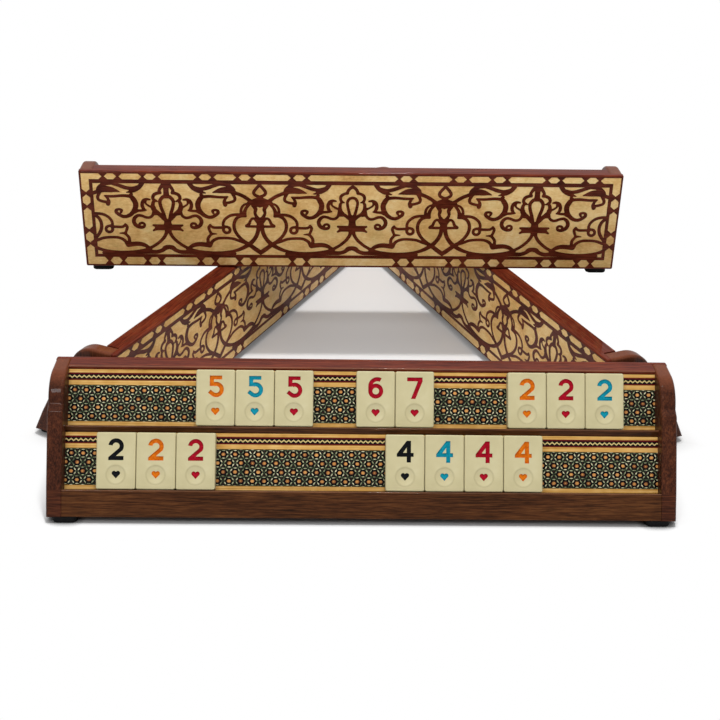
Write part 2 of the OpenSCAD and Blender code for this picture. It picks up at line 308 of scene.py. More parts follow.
def khatam():
    """Star marquetry on a tile panel: a star field between yellow bands, with a zigzag strip above it."""
    tree = material_tree("khatam")
    x, y, _ = tree.axes()
    sway = (tree.noise(tree.scaled(1, 1, 1), 70.0, detail=1) - 0.5) * 0.9
    # rows of stars, alternate ones half a pitch along; the rows are squeezed to their pitch
    squeeze = STAR_PITCH * math.sqrt(3) / 2 / STAR_ROWS
    u, v = x + sway, (y - (STAR_FOOT + STAR_HEAD) / 2 + STAR_ROWS / 2) * squeeze + sway
    row = STAR_PITCH * math.sqrt(3) / 2
    half = STAR_PITCH / 2

    def local(shift_x, shift_y):
        """A place from the middle of its star, on the even or the odd rows, and its squared distance."""
        a = (u + shift_x).wrap(-half, half)
        b = (v + shift_y).wrap(-row, row)
        return a, b, a * a + b * b

    ax, ay, ar = local(0.0, 0.0)
    bx, by, br = local(half, row)
    pick = ar < br
    cx = bx + (ax - bx) * pick
    cy = by + (ay - by) * pick
    radius = (cx * cx + cy * cy).math("SQRT")
    angle = cy.math("ARCTAN2", cx)
    # n runs towards the nearest of the star's six sides, and t along that side
    fold = (angle - math.pi / 2).wrap(-math.pi / 6, math.pi / 6)
    n = radius * fold.math("COSINE")
    t = abs(radius * fold.math("SINE"))
    edge = row / 2

    jitter = tree.noise(tree.scaled(1, 1, 1), 150.0, detail=1)
    fine = tree.noise(tree.scaled(1, 1, 1), 900.0, detail=2)
    ground = tree.ramp(fine * 0.6 + jitter * 0.4, (0.35, "#080a08"), (0.6, "#141a14"))
    pale = tree.ramp(fine * 0.4 + jitter * 0.6, (0.36, "#3f4838"), (0.46, "#a3a67f"), (0.6, "#e4deb9"))
    orange = tree.ramp(jitter, (0.35, "#8a5230"), (0.5, "#be7f46"), (0.66, "#d79b5a"))

    colour = tree.mix((n > edge * 1.22) * (t < 0.4), ground, "#3a1c19")
    colour = tree.mix(n < edge, colour, "#0a0706")
    colour = tree.mix(abs(n - edge) < RIM_LINE, colour, "#4c5e42")
    stroke = abs(n - STROKE_OUT) / STROKE_WIDE + t / STROKE_LONG
    colour = tree.mix(stroke < 1.0, colour, pale)
    colour = tree.mix(n < STAR_RING, colour, "#240b06")
    colour = tree.mix(n < STAR_BODY, colour, orange)
    colour = tree.mix(radius < STAR_CORE, colour, "#d9ae60")

    grain = tree.noise(tree.scaled(4, 500, 500), 3.0, detail=4, roughness=0.6)
    yellow = tree.ramp(grain * 0.8 + jitter * 0.2, (0.32, "#a5762f"), (0.5, "#cf9f55"), (0.66, "#e6c07c"))
    red = "#56090f"
    band = y.between(STAR_FOOT, STAR_HEAD)
    colour = tree.mix(band, yellow, colour)
    for low, high in ((STAR_FOOT - 0.25, STAR_FOOT), (STAR_HEAD, STAR_HEAD + 0.25)):
        colour = tree.mix(y.between(low, high), colour, "#7a4a1c")
    colour = tree.mix(y.between(RED_LOW, RED_HIGH), colour, red)
    wave = abs((x / ZIGZAG_PITCH).wrap(-0.5, 0.5)) * 4 - 1
    middle = (ZIGZAG_LOW + ZIGZAG_HIGH) / 2
    line = abs(y - middle - wave * 0.62)
    zigzag = tree.mix(line < 0.45, "#0d0707", "#cbb679")
    colour = tree.mix(y.between(ZIGZAG_LOW, ZIGZAG_HIGH), colour, zigzag)
    tree.set(Base_Color=colour)
    lacquer(tree)
    return tree.block


def rubber():
    """Matt black rubber with a fine grit."""
    tree = material_tree("rubber")
    grit = tree.noise(tree.scaled(1, 1, 1), 900.0, detail=3)
    tree.set(Base_Color=tree.ramp(grit, (0.3, "#060606"), (0.7, "#121213")), Roughness=0.8,
             Specular_IOR_Level=0.15)
    tree.set(Normal=tree.bump(grit, 0.05))
    return tree.block


def tile_plastic():
    """Cream plastic, a little cloudy and worn duller here and there, with painted shade in a ring round its
    dimple's rim.
    """
    tree = material_tree("tile_cream")
    cloud = tree.noise(tree.scaled(1, 1, 1), 60.0, detail=3)
    wear = tree.noise(tree.scaled(1, 1, 1), 240.0, detail=4, roughness=0.7)
    x, y, _ = tree.axes()
    from_dimple = (x * x + (y - DIMPLE_UP) * (y - DIMPLE_UP)).math("SQRT")
    # Painted shade: a darker ring where the dimple's rim meets the face
    painted_rim_shade = 1.0 - abs(from_dimple - DIMPLE_D / 2) / 0.9
    colour = tree.ramp(cloud, (0.3, "#bfb58c"), (0.6, "#c7bd94"), (0.8, "#cec59e"))
    colour = tree.mix(painted_rim_shade.math("MAXIMUM", 0.0) * wear * 0.5, colour, "#7d7350")
    tree.set(Base_Color=colour, Roughness=wear * 0.2 + 0.3, Specular_IOR_Level=0.25)
    tree.set(Normal=tree.bump(wear, 0.008))
    return tree.block


def paint(name, deep, bright):
    """The paint in a tile's engraving."""
    tree = material_tree("paint_" + name)
    mottle = tree.noise(tree.scaled(1, 1, 1), 500.0, detail=3)
    tree.set(Base_Color=tree.ramp(mottle, (0.35, deep), (0.65, bright)), Roughness=0.5, Specular_IOR_Level=0.05)
    return tree.block


MATERIALS = {
    "walnut": wood("walnut", "#241206", "#492813", "#6b4222"),
    "upright walnut": wood("walnut_upright", "#210f08", "#432114", "#6a3a22", upright=True),
    "mahogany": wood("mahogany", "#38110a", "#5f2314", "#863c22", contrast=0.9),
    "honey": honey_wood(),
    "strapwork": strapwork_wood(),
    "khatam": khatam(),
    "rubber": rubber(),
    "tile": tile_plastic(),
}
PAINTS = {
    "orange": paint("orange", "#bd560a", "#dc7614"),
    "teal": paint("teal", "#08788c", "#1592a8"),
    "red": paint("red", "#8c0818", "#ae1029"),
    "black": paint("black", "#07080b", "#131519"),
}


# ---------------------------------------------------------------- mesh helpers
def finish_piece(name, mesh, place, body, finish, replaced=()):
    """An object with its mesh in its own frame, put in place, on its body and with its finish."""
    obj = bpy.data.objects.new(name, mesh)
    bpy.context.scene.collection.objects.link(obj)
    obj.matrix_world = place
    if not mesh.materials:
        mesh.materials.append(MATERIALS[finish])
    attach(obj, body)
    if replaced:
        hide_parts(*replaced)
    return obj


def cad_mesh(node, place):
    """A CAD node's mesh in the frame of place, in millimetres, with its flat faces whole again."""
    bm = bmesh.new()
    bm.from_mesh(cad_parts[node].data)
    bmesh.ops.transform(bm, matrix=Matrix.Scale(1 / MM, 4) @ place.inverted(), verts=bm.verts)
    bmesh.ops.remove_doubles(bm, verts=bm.verts, dist=0.002)
    bmesh.ops.dissolve_limit(bm, angle_limit=math.radians(0.6), verts=bm.verts, edges=bm.edges)
    bmesh.ops.recalc_face_normals(bm, faces=bm.faces)
    return bm


def to_mesh(bm, name, smooth_angle=35):
    """The mesh in metres, shaded smooth but for edges sharper than the angle and those already marked."""
    for edge in bm.edges:
        wide = len(edge.link_faces) != 2 or edge.calc_face_angle() > math.radians(smooth_angle)
        edge.smooth = edge.smooth and not wide
    for face in bm.faces:
        face.smooth = True
    bmesh.ops.scale(bm, vec=(MM, MM, MM), verts=bm.verts)
    mesh = bpy.data.meshes.new(name)
    bm.to_mesh(mesh)
    bm.free()
    return mesh


def softened(node, name, rack, finish, radius, segments=4, place=None, reshape=None, cut_at=None):
    """A rack's CAD piece with its edges rounded: radius(edge's two ends) gives each sharp edge's own radius.

    reshape moves a corner, and cut_at splits the edges that cross that height.
    """
    place = place or RACKS[rack]
    bm = cad_mesh(node, place)
    if reshape:
        for vert in bm.verts:
            vert.co = reshape(vert.co)
    if cut_at:
        bmesh.ops.bisect_plane(bm, geom=bm.verts[:] + bm.edges[:] + bm.faces[:], dist=0.001,
                               plane_co=(0, 0, cut_at), plane_no=(0, 0, 1))
    weights = bm.edges.layers.float.new("bevel_weight_edge")
    sharp = [e for e in bm.edges if len(e.link_faces) == 2 and e.calc_face_angle() > math.radians(20)]
    radii = {e: radius(*(v.co for v in e.verts)) for e in sharp}
    largest = max(radii.values())
    for edge, r in radii.items():
        edge[weights] = r / largest
    obj = finish_piece(name, to_mesh(bm, name), place, rack + "_rack", finish, [node])
    bevel = obj.modifiers.new("rounding", "BEVEL")
    bevel.limit_method = "WEIGHT"
    bevel.width = largest * MM
    bevel.segments = segments
    bevel.harden_normals = True
    return obj


# ---------------------------------------------------------------- strapwork on the backs
PANEL_W, PANEL_H = RACK_LEN, RACK_H - PAD_H
HALF_PERIOD = 68.5
FIELD_SIDE, FIELD_FOOT, FIELD_HEAD = 9.8, 10.3, 66.3
STRAP_DEEP = 0.5

# Each stroke of the scrolling pattern is a line of (across, up, width). Across is measured from a palmette's
# axis towards the next heart's, and up from the panel's foot; the pattern mirrors at both axes.
SCROLLS = [
    [(46, 65.2, 3), (48.8, 62.6, 3), (49.8, 60, 3), (53, 58.6, 2.8), (57, 56.6, 2.8), (60.5, 54, 3),
     (63, 51.8, 3.6)],
    [(17.3, 66.4, 3.6), (19.6, 63.3, 3.4), (23, 61, 3), (26, 60, 2.2), (28.7, 59.3, 0.9)],
    [(20, 64, 2), (23, 62.8, 2.6), (26, 62.4, 2.8), (30, 63.2, 3), (34, 64.7, 2.8), (38, 66, 2.6)],
    [(34, 59.8, 0.9), (36.5, 60.6, 2.4), (40, 61.4, 4.4), (44, 61.8, 5), (47.5, 61.4, 4.6)],
    [(36, 66.3, 2), (46, 65.6, 2.4)],
    [(24.9, 58.0, 1.8), (25.8, 57.6, 2.4)],
    [(25.6, 56.1, 2.6), (29.5, 56.7, 2.4), (33, 56.7, 2.3), (38, 56.2, 2.1), (42, 56.2, 2), (44.9, 56.6, 1.1)],
    [(26.5, 57, 2.2), (24.7, 54.9, 3.8), (22.9, 51.5, 4), (22.8, 48.5, 4), (24, 45.3, 3.6), (26.5, 42.3, 3.2),
     (29.5, 40.6, 2.8), (32.5, 40.4, 2.7), (35.2, 41.8, 2.7), (37.2, 43.6, 2.6), (37.2, 45.3, 2.4),
     (35.3, 46.1, 2.0), (33.3, 45.3, 2.2), (33.9, 43.6, 1.8)],
    [(44.5, 56.4, 1.3), (42.9, 54.6, 2), (42.1, 52.3, 2.6), (42.8, 50.2, 3.2)],
    [(43.2, 51.6, 2.2), (46.5, 52.2, 2.2), (49.4, 53.4, 2.2), (50, 55.6, 2.4), (48.8, 58.2, 2.4),
     (47.5, 60.5, 2.5)],
    [(12.2, 53.8, 1.4), (14.5, 54.1, 2.2), (16.9, 53, 2.6), (18, 50.3, 2.7), (17.7, 47.8, 2.6), (16.5, 45.8, 2)],
    [(15.6, 53, 2.2), (15.2, 50.6, 1.6), (13, 48.8, 1.6), (10, 47.4, 2)],
    [(15.4, 45.5, 1.2), (18.5, 45.2, 2), (21.5, 45, 2.2), (23.5, 44, 2.5)],
    [(9.3, 47.5, 2.6), (9.9, 44.5, 2.3), (10.8, 41.5, 2.2), (13, 39.8, 2.2), (15.6, 39.8, 2.2), (18.5, 41, 2.2),
     (21.5, 41.3, 2.4), (24, 39.4, 2.8), (24.9, 36.5, 3), (23.6, 33.6, 3), (20.8, 32, 2.7), (18, 32.2, 2.4),
     (17.1, 34, 2), (18.3, 35.3, 2), (20.3, 35.0, 2), (21.2, 33.5, 2)],
    [(0.6, 37, 3.4), (1, 34, 4), (1, 30, 3.2), (1.7, 26.8, 2.7), (4.2, 22.8, 2.5), (8.5, 18.8, 2.4),
     (12.5, 16.2, 2.4),
     (16, 14.4, 2.6), (20, 12.6, 2.2)],
    [(0, 33, 2.8), (8, 33.2, 2.4), (10.6, 33.6, 1.7)],
    [(0, 32, 3), (8.5, 32, 2.5)],
    [(0, 31, 2.8), (8, 30.7, 2.4), (10.7, 29.5, 1.6)],
    [(0, 16.2, 3.4), (2.6, 15.6, 3.8), (5, 13.6, 3.2), (9, 12.2, 3.2), (15, 12.2, 3.4), (24, 11.4, 2.4),
     (34, 11, 2.4),
     (49, 11.2, 2.2)],
    [(14, 14.6, 3), (20, 13.2, 2.4), (27, 12.1, 2.4), (34, 11.7, 2.4), (41, 12.0, 2.4), (48, 13.2, 2.4),
     (54, 15.3, 3.0), (59.8, 18.9, 3.4), (63.4, 22.6, 3.1), (65.8, 27, 3.1), (67, 32, 3.2)],
    [(15.2, 15.8, 2.5), (18, 17.6, 3.2), (22, 18.6, 3.6), (26.5, 18.4, 3.8), (30.2, 17.8, 3.8)],
    [(30.8, 18, 2.8), (32.6, 21.2, 2.5), (36.5, 23.4, 2.3), (42, 23.8, 2.2), (48, 23.2, 2.3), (53, 21.3, 2.4),
     (58, 19.6, 2.5)],
    [(29.2, 20, 2.6), (29.2, 23, 2.4), (30.6, 25.5, 2.3), (32.5, 27, 2.0), (35.8, 27, 0.9)],
    [(31.8, 27, 2), (30.6, 29.8, 2.2), (30.1, 32.2, 2.3), (31.2, 34.1, 2)],
    [(31.2, 33.6, 2), (33.5, 32.2, 2.2), (37, 32.1, 2.2), (40.5, 32.2, 2.2)],
    [(41.4, 32.4, 2.2), (40.9, 30, 2.3), (42.1, 28.3, 2.3), (44, 28.0, 2.3), (45.6, 29.3, 2.3), (45.5, 31.4, 2.3),
     (44, 32.6, 2.2), (41, 33, 2.2)],
    [(41, 33, 2.2), (40.8, 35.5, 2.2), (42.3, 38.8, 2.2), (46, 41.6, 2.3), (50.5, 42.6, 2.3), (55, 42.3, 2.6)],
    [(57.5, 41.4, 2), (54, 41.3, 2.2), (51, 39.7, 2.5), (49.2, 36.5, 2.6), (48.8, 33, 2.6), (49.6, 29.3, 2.6),
     (52.2, 25, 2.5), (56, 21.4, 2.4), (60, 18.4, 3.2), (65, 14.45, 3.5), (68.5, 12.0, 3.5)],
    [(58, 33.7, 2.3), (60, 35.3, 2.3), (61, 37.8, 2.1), (62.5, 39.5, 2), (64.3, 39.2, 2.2), (66.4, 36.6, 2.6)],
    [(57.9, 33.3, 2), (62, 33.2, 2.1), (68.5, 33.2, 2.2)],
    [(66.8, 32, 3), (67.2, 36, 3.2), (67.4, 39, 3)],
    [(60, 51.6, 3), (64, 52.6, 5), (68.5, 52.4, 8.6)],
    [(63.2, 50, 3), (65.0, 47, 2.9), (64.5, 44, 2.3), (65.5, 41.3, 2.5), (67.5, 38.5, 3.4)],
    [(60.5, 51.2, 2), (57, 50.6, 1.8), (54.9, 48.3, 2), (54.2, 45.5, 2.2), (54.6, 42.5, 2.6)],
    [(60.2, 50.3, 2), (58.2, 48, 2.4), (57.0, 45, 2.8), (56.8, 42, 3)],
    [(67.9, 65.6, 2.4), (65.4, 62.8, 2.4), (63.9, 60.3, 2.5), (64.6, 58.3, 2.4), (67, 57, 2.4),
     (68.5, 56.6, 2.5)],
]
MIDDLE_PALMETTE = [
    [(0, 65.2, 2.6), (2.5, 63.3, 2.4), (3.9, 60.6, 2.4)],
    [(3.7, 60, 2.2), (6.2, 59.5, 2.2), (8.4, 57.8, 2.4), (8.8, 55.2, 2.2), (7.8, 53.4, 2.0), (6, 52.7, 1.0)],
    [(8, 53, 1.8), (9, 51.2, 2.4), (9.1, 48.5, 2.6), (8.6, 46, 3), (7, 43.8, 2.8), (4.5, 42, 2.6), (2, 40, 3)],
    [(9.6, 43.2, 3), (7.4, 43, 3)],
    [(0, 56.5, 2.2), (2.2, 55.8, 2.2), (3.7, 53.3, 2.2), (3.6, 50.5, 2.2), (2.9, 47, 2.2), (2.0, 43.5, 2.4),
     (1.2, 40, 3), (1, 36, 3)],
    [(1, 41, 4), (0.8, 38, 3)],
]
OUTER_PALMETTE = [
    [(0, 66, 4), (2, 65.4, 3.4), (3.6, 63.6, 2.6), (5.0, 61.2, 2.4), (4.6, 59.6, 2.4)],
    [(4.4, 59.2, 2.4), (6.6, 58.9, 2.5), (9, 57.6, 2.6), (9.9, 55.4, 2.5), (9.2, 53.6, 2.2), (7, 52.6, 1.4)],
    [(8.4, 53.4, 2), (9.8, 51.6, 2.6), (10.2, 49.4, 3), (9.9, 46.6, 3.6), (8, 44.4, 3.4), (5.2, 41.8, 3.2),
     (2.6, 39, 3.4)],
    [(0, 66, 4.6), (0, 61, 4), (0, 57.5, 4.4)],
    [(0, 56.2, 2.8), (2.4, 56, 2.8), (4.4, 53.8, 2.7), (4.9, 51.4, 2.6), (4.2, 47.6, 2.6), (2.8, 43.5, 2.6),
     (1.9, 39.5, 2.6), (1.4, 37, 2.8)],
    [(9.6, 43.2, 3), (7.4, 43, 3)],
]

# The light bars of the border lie between joints. These are the joints' places, along and up the panel.
BAR_FOOT, BAR_HEAD, BAR_SIDE = (1.9, 7.8), (69.3, 73.8), (1.8, 7.3)
JOINTS_ALONG = [17.7, 28.3, 46.4, 56.9, 86.4, 97.3, 115.4, 126.0, 155.3, 166.0]
JOINTS_UP = [18.7, 29.1, 48.0, 58.3]
BAR_POINT, BAR_GAP = 2.4, 1.7


def smooth_path(points, steps=5):
    """A Catmull-Rom curve through the points, widths included."""
    p = np.array(points, float)
    p = np.vstack([2 * p[0] - p[1], p, 2 * p[-1] - p[-2]])
    t = np.linspace(0, 1, steps, endpoint=False)[:, None]
    spans = [0.5 * (2 * p[i] + (p[i + 1] - p[i - 1]) * t
                    + (2 * p[i - 1] - 5 * p[i] + 4 * p[i + 1] - p[i + 2]) * t ** 2
                    + (3 * p[i] - p[i - 1] - 3 * p[i + 1] + p[i + 2]) * t ** 3) for i in range(1, len(p) - 2)]
    return np.vstack(spans + [p[-2:-1]])


def stroke_depth(strokes, across, up, blend=0.35):
    """Signed distance to the union of the strokes, negative inside, with joins filleted over blend."""
    total = np.full(across.shape, 50.0)
    for stroke in strokes:
        path = smooth_path(stroke)
        nearest = np.full(across.shape, 50.0)
        for a, b in zip(path[:-1], path[1:]):
            along = b[:2] - a[:2]
            t = ((across - a[0]) * along[0] + (up - a[1]) * along[1]) / max(along @ along, 1e-9)
            t = np.clip(t, 0, 1)
            painted_shade_ao = np.hypot(across - a[0] - t * along[0], up - a[1] - t * along[1])
            nearest = np.minimum(nearest, painted_shade_ao - (a[2] + t * (b[2] - a[2])) / 2)
        h = np.clip(0.5 + 0.5 * (total - nearest) / blend, 0, 1)
        total = total * (1 - h) + nearest * h - blend * h * (1 - h)
    return total


def outlines(field, xs, ys):
    """The closed loops where the field crosses zero, as arrays of points. The field's rim is taken as outside."""
    field = np.pad(field, 1, constant_values=1.0)
    xs = np.concatenate([[2 * xs[0] - xs[1]], xs, [2 * xs[-1] - xs[-2]]])
    ys = np.concatenate([[2 * ys[0] - ys[1]], ys, [2 * ys[-1] - ys[-2]]])
    inside = field < 0
    step_x, step_y = xs[1] - xs[0], ys[1] - ys[0]

    def crossing(key):
        r, c, upright = key
        a, b = field[r, c], field[r + upright, c + 1 - upright]
        t = min(max(a / (a - b), 0.02), 0.98)
        return xs[c] + t * step_x * (1 - upright), ys[r] + t * step_y * upright

    links = {}
    corners = inside[:-1, :-1] * 1 + inside[:-1, 1:] * 2 + inside[1:, 1:] * 4 + inside[1:, :-1] * 8
    for r, c in zip(*np.nonzero((corners > 0) & (corners < 15))):
        low, right, high, left = (r, c, 0), (r, c + 1, 1), (r + 1, c, 0), (r, c, 1)
        crossed = [key for key, a, b in ((low, 0, 1), (right, 1, 2), (high, 3, 2), (left, 0, 3))
                   if (corners[r, c] >> a & 1) != (corners[r, c] >> b & 1)]
        if len(crossed) == 4:
            crossed = [low, right, high, left] if corners[r, c] == 10 else [left, low, right, high]
        for a, b in zip(crossed[::2], crossed[1::2]):
            links.setdefault(a, []).append(b)
            links.setdefault(b, []).append(a)
    loops = []
    while links:
        key = next(iter(links))
        loop = []
        while key in links:
            loop.append(key)
            onward = [k for k in links.pop(key) if k in links]
            if not onward:
                break
            key = onward[0]
        loops.append(np.array([crossing(k) for k in loop]))
    return loops


def thinned(loop, tolerance=0.035):
    """The loop with the points dropped that lie within tolerance of the line between those kept."""
    keep = np.zeros(len(loop), bool)
    far = int(np.argmax(np.hypot(*(loop - loop[0]).T)))
    keep[[0, far]] = True
    spans = [(0, far), (far, len(loop))]
    closed = np.vstack([loop, loop[:1]])
    while spans:
        a, b = spans.pop()
        if b - a < 2:
            continue
        chord = closed[b] - closed[a]
        off = closed[a + 1:b] - closed[a]
        painted_shade_ao = np.abs(off[:, 0] * chord[1] - off[:, 1] * chord[0]) / max(np.hypot(*chord), 1e-9)
        i = int(np.argmax(painted_shade_ao))
        if painted_shade_ao[i] > tolerance:
            keep[a + 1 + i] = True
            spans += [(a, a + 1 + i), (a + 1 + i, b)]
    return loop[keep]


def scroll_outlines():
    """The scrolling pattern's outlines over the whole panel, from the half units between its axes."""
    cells = 171
    across = np.linspace(0, HALF_PERIOD, cells + 1)
    up = np.arange(FIELD_FOOT - 2, FIELD_HEAD + 2, 0.4)
    grid = np.meshgrid(across * 68.2 / HALF_PERIOD, up)
    middle = stroke_depth(SCROLLS + MIDDLE_PALMETTE, *grid)
    outer = stroke_depth(SCROLLS + OUTER_PALMETTE, *grid)
    order = [outer[:, ::-1], outer, middle[:, ::-1], middle, outer[:, ::-1], outer]
    whole = np.hstack([part[:, :-1] for part in order] + [order[-1][:, -1:]])
    xs = np.linspace(PANEL_W / 2 - 3 * HALF_PERIOD, PANEL_W / 2 + 3 * HALF_PERIOD, 6 * cells + 1)
    keep = (xs > FIELD_SIDE - 1.5) & (xs < PANEL_W - FIELD_SIDE + 1.5)
    loops = outlines(whole[:, keep], xs[keep], up)
    return [thinned(loop) for loop in loops if len(loop) > 8]


def turns_left(shape):
    """Whether a closed outline runs counter-clockwise."""
    x, y = np.array(shape).T
    return (x * np.roll(y, -1) - np.roll(x, -1) * y).sum() > 0


def bar(a, b, low, high, point_a=True, point_b=True):
    """A light bar from a to b between two heights, pointed at either end."""
    mid = (low + high) / 2
    start = [(a + BAR_POINT, high), (a, mid), (a + BAR_POINT, low)] if point_a else [(a, high), (a, low)]
    end = [(b - BAR_POINT, low), (b, mid), (b - BAR_POINT, high)] if point_b else [(b, low), (b, high)]
    return start + end


def border_bars():
    """Outlines of the border's light bars and of its four L-shaped corners, over the whole panel."""
    half = BAR_GAP / 2
    along = JOINTS_ALONG + [PANEL_W - x for x in reversed(JOINTS_ALONG)]
    bars = []
    for low, high in (BAR_FOOT, BAR_HEAD):
        bars += [bar(a + half, b - half, low, high) for a, b in zip(along[:-1], along[1:])]
    sides = [bar(a + half, b - half, *BAR_SIDE) for a, b in zip(JOINTS_UP[:-1], JOINTS_UP[1:])]
    left = [[(y, x) for x, y in shape] for shape in sides]
    foot_x, foot_y = JOINTS_ALONG[0] - half, JOINTS_UP[0] - half
    head_y = JOINTS_UP[-1] + half
    (side, inner), mid_side = BAR_SIDE, sum(BAR_SIDE) / 2
    for rim, far, tip in ((BAR_FOOT[0], BAR_FOOT[1], foot_y), (BAR_HEAD[1], BAR_HEAD[0], head_y)):
        back = BAR_POINT if tip > far else -BAR_POINT
        left.append([(side, rim), (foot_x - BAR_POINT, rim), (foot_x, (rim + far) / 2), (foot_x - BAR_POINT, far),
                     (inner, far), (inner, tip - back), (mid_side, tip), (side, tip - back)])
    return bars + left + [[(PANEL_W - x, y) for x, y in shape] for shape in left]


def strapwork_mesh():
    """The dark inlay of a back panel: a border pierced by its light bars, and the scrolls inside it."""
    rim, wide, high = VENEER_INSET, PANEL_W - VENEER_INSET, PANEL_H - VENEER_INSET
    shapes = [[(rim, rim), (wide, rim), (wide, high), (rim, high)],
              [(FIELD_SIDE, FIELD_FOOT), (PANEL_W - FIELD_SIDE, FIELD_FOOT),
               (PANEL_W - FIELD_SIDE, FIELD_HEAD), (FIELD_SIDE, FIELD_HEAD)]]
    bars = border_bars()
    scrolls = [loop.tolist() for loop in scroll_outlines()]
    points, faces = [], []
    for shape in shapes + bars + scrolls:
        faces.append(list(range(len(points), len(points) + len(shape))))
        points += shape if turns_left(shape) else shape[::-1]
    verts, _, triangles, _, _, origins = delaunay_2d_cdt([Vector(p) for p in points], [], faces, 0, 1e-5)
    first_scroll = 2 + len(bars)

    def dark(within):
        if 0 not in within or any(2 <= i < first_scroll for i in within):
            return False
        return 1 not in within or sum(i >= first_scroll for i in within) % 2 == 1

    bm = bmesh.new()
    made = {}
    for triangle, within in zip(triangles, origins):
        if dark(within):
            for i in triangle:
                if i not in made:
                    made[i] = bm.verts.new((verts[i].x, verts[i].y, 0))
            bm.faces.new([made[i] for i in triangle])
    walls = bmesh.ops.extrude_face_region(bm, geom=bm.faces[:])
    lowered = [v for v in walls["geom"] if isinstance(v, bmesh.types.BMVert)]
    bmesh.ops.translate(bm, vec=(0, 0, -STRAP_DEEP), verts=lowered)
    bmesh.ops.recalc_face_normals(bm, faces=bm.faces)
    return to_mesh(bm, "strapwork", 30)


def plate_mesh(name, width, height, low, high, radius):
    """A flat plate with its corner on the origin and rounded edges."""
    bm = bmesh.new()
    bmesh.ops.create_cube(bm, size=1)
    bmesh.ops.scale(bm, vec=(width, height, high - low), verts=bm.verts)
    bmesh.ops.translate(bm, vec=(width / 2, height / 2, (high + low) / 2), verts=bm.verts)
    bmesh.ops.bevel(bm, geom=bm.edges, offset=radius, segments=3, profile=0.5, affect="EDGES")
    return to_mesh(bm, name, 40)


# ---------------------------------------------------------------- the racks
def near(value, target, slack=0.05):
    """Whether two lengths agree. The radius functions below get an edge's two ends."""
    return abs(value - target) < slack


def cap_radius(a, b):
    """2 mm round the outline seen from the front, less on the bottom and where the back panel and rail join."""
    if near(a.y, BACK_IN) and near(b.y, BACK_IN):
        return 0.15
    if near(a.z, PAD_H) and near(b.z, PAD_H):
        return 0.5
    beside_rail = max(a.z, b.z) < NOSE_LOW[1] + 0.05 and abs(a.x) < INNER_LEN / 2 + 0.05
    if beside_rail:
        return 0.05
    along_x = abs(a.x - b.x) > CAP_T / 2
    return 1.0 if along_x else 2.0


def rail_radius(a, b):
    """The base rail's nose and foot are rounded, and its ends only just."""
    if abs(a.x - b.x) < 1:
        return 0.1
    return 0.9 if near(a.z, NOSE_LOW[1]) or near(a.y, 0) else 0.2


def mid_rail_radius(a, b):
    """The nose is rounded most, the edge under it less."""
    if abs(a.x - b.x) < 1:
        return 0.1
    if near(a.z, NOSE_HIGH[1]):
        return 1.6
    return 0.8 if near(a.z, HEAD_LOW[1]) else 0.1


def top_rail_radius(a, b):
    """The front edges are rounded, and a shallow groove is left where the rail meets the back board."""
    if abs(a.x - b.x) < 1:
        return 0.1
    if near(a.y, HEAD_HIGH[0]):
        return 0.7
    return 0.35 if near(a.z, RACK_H) else 0.12


# The back's face: the board, then the veneer, then the inlay, each a little prouder
BOARD_DROP, VENEER_DROP, VENEER_T, VENEER_INSET = 0.45, 0.06, 0.5, 1.0


def board_radius(a, b):
    """A back board's outer edges are rounded, and those against the rack only just."""
    return 0.35 if near(a.y, BACK_IN) and near(b.y, BACK_IN) else 1.2


def dress_back(rack, inlay):
    """A rack's back panel: a mahogany board with a honey veneer and the dark inlay set in it."""
    node = rack + "_back_panel"
    softened(node, rack + "_back_board", rack, "mahogany", board_radius, segments=4,
             reshape=lambda co: Vector((co.x, min(co.y, RACK_D - BOARD_DROP), co.z)))
    # X runs from the rack's right to its left as seen from the front, Y up, Z out of the back
    face = RACKS[rack] @ Matrix.Translation(Vector((RACK_LEN / 2, RACK_D, PAD_H)) * MM) @ Matrix(
        ((-1, 0, 0), (0, 0, 1), (0, 1, 0))).to_4x4()
    inset = VENEER_INSET + 0.1
    veneer = plate_mesh(rack + "_veneer", PANEL_W - 2 * inset, PANEL_H - 2 * inset, -VENEER_T, -VENEER_DROP, 0.1)
    finish_piece(rack + "_back_veneer", veneer, face @ Matrix.Translation(Vector((inset, inset, 0)) * MM),
                 rack + "_rack", "honey")
    finish_piece(rack + "_back_strapwork", inlay, face, rack + "_rack", "strapwork")


def dress_rack(rack, inlay):
    """A rack's ten pieces, each with rounded edges and its finish."""
    for side in ("left", "right"):
        softened(f"{rack}_{side}_cap", f"{rack}_cap_{side}", rack, "upright walnut", cap_radius, cut_at=NOSE_LOW[1])
    softened(rack + "_base_rail", rack + "_rail_base", rack, "walnut", rail_radius)
    softened(rack + "_mid_rail", rack + "_rail_mid", rack, "walnut", mid_rail_radius)
    softened(rack + "_top_rail", rack + "_rail_top", rack, "mahogany", top_rail_radius, segments=3)
    softened(rack + "_bottom_board", rack + "_board_bottom", rack, "walnut", lambda a, b: 0.3, segments=2)
    softened(rack + "_pads", rack + "_feet", rack, "rubber", lambda a, b: 0.6, segments=3)
    for tier, foot in (("lower", FOOT_LOW), ("upper", FOOT_HIGH)):
        softened(f"{rack}_{tier}_panel", f"{rack}_khatam_{tier}", rack, "khatam", lambda a, b: 0.1, segments=1,
                 place=RACKS[rack] @ on_slope(foot))
    dress_back(rack, inlay)


inlay = strapwork_mesh()
for rack in RACKS:
    dress_rack(rack, inlay)


# ---------------------------------------------------------------- the tiles
TILE_W, TILE_H, TILE_T, TILE_R, TILE_GAP, TILE_CLEAR = 24.8, 36.0, 7.6, 1.3, 0.3, 0.3
DIGIT_LOW, DIMPLE_DEPTH, ENGRAVE, TILE_ROUND = TILE_H - 3.8 - 13.8, 1.1, 0.6, 0.9
TIERS = {"lower": FOOT_LOW, "upper": FOOT_HIGH}


def group_len(tiles):
    """Width of a group of tiles side by side."""
    return tiles * (TILE_W + TILE_GAP) - TILE_GAP


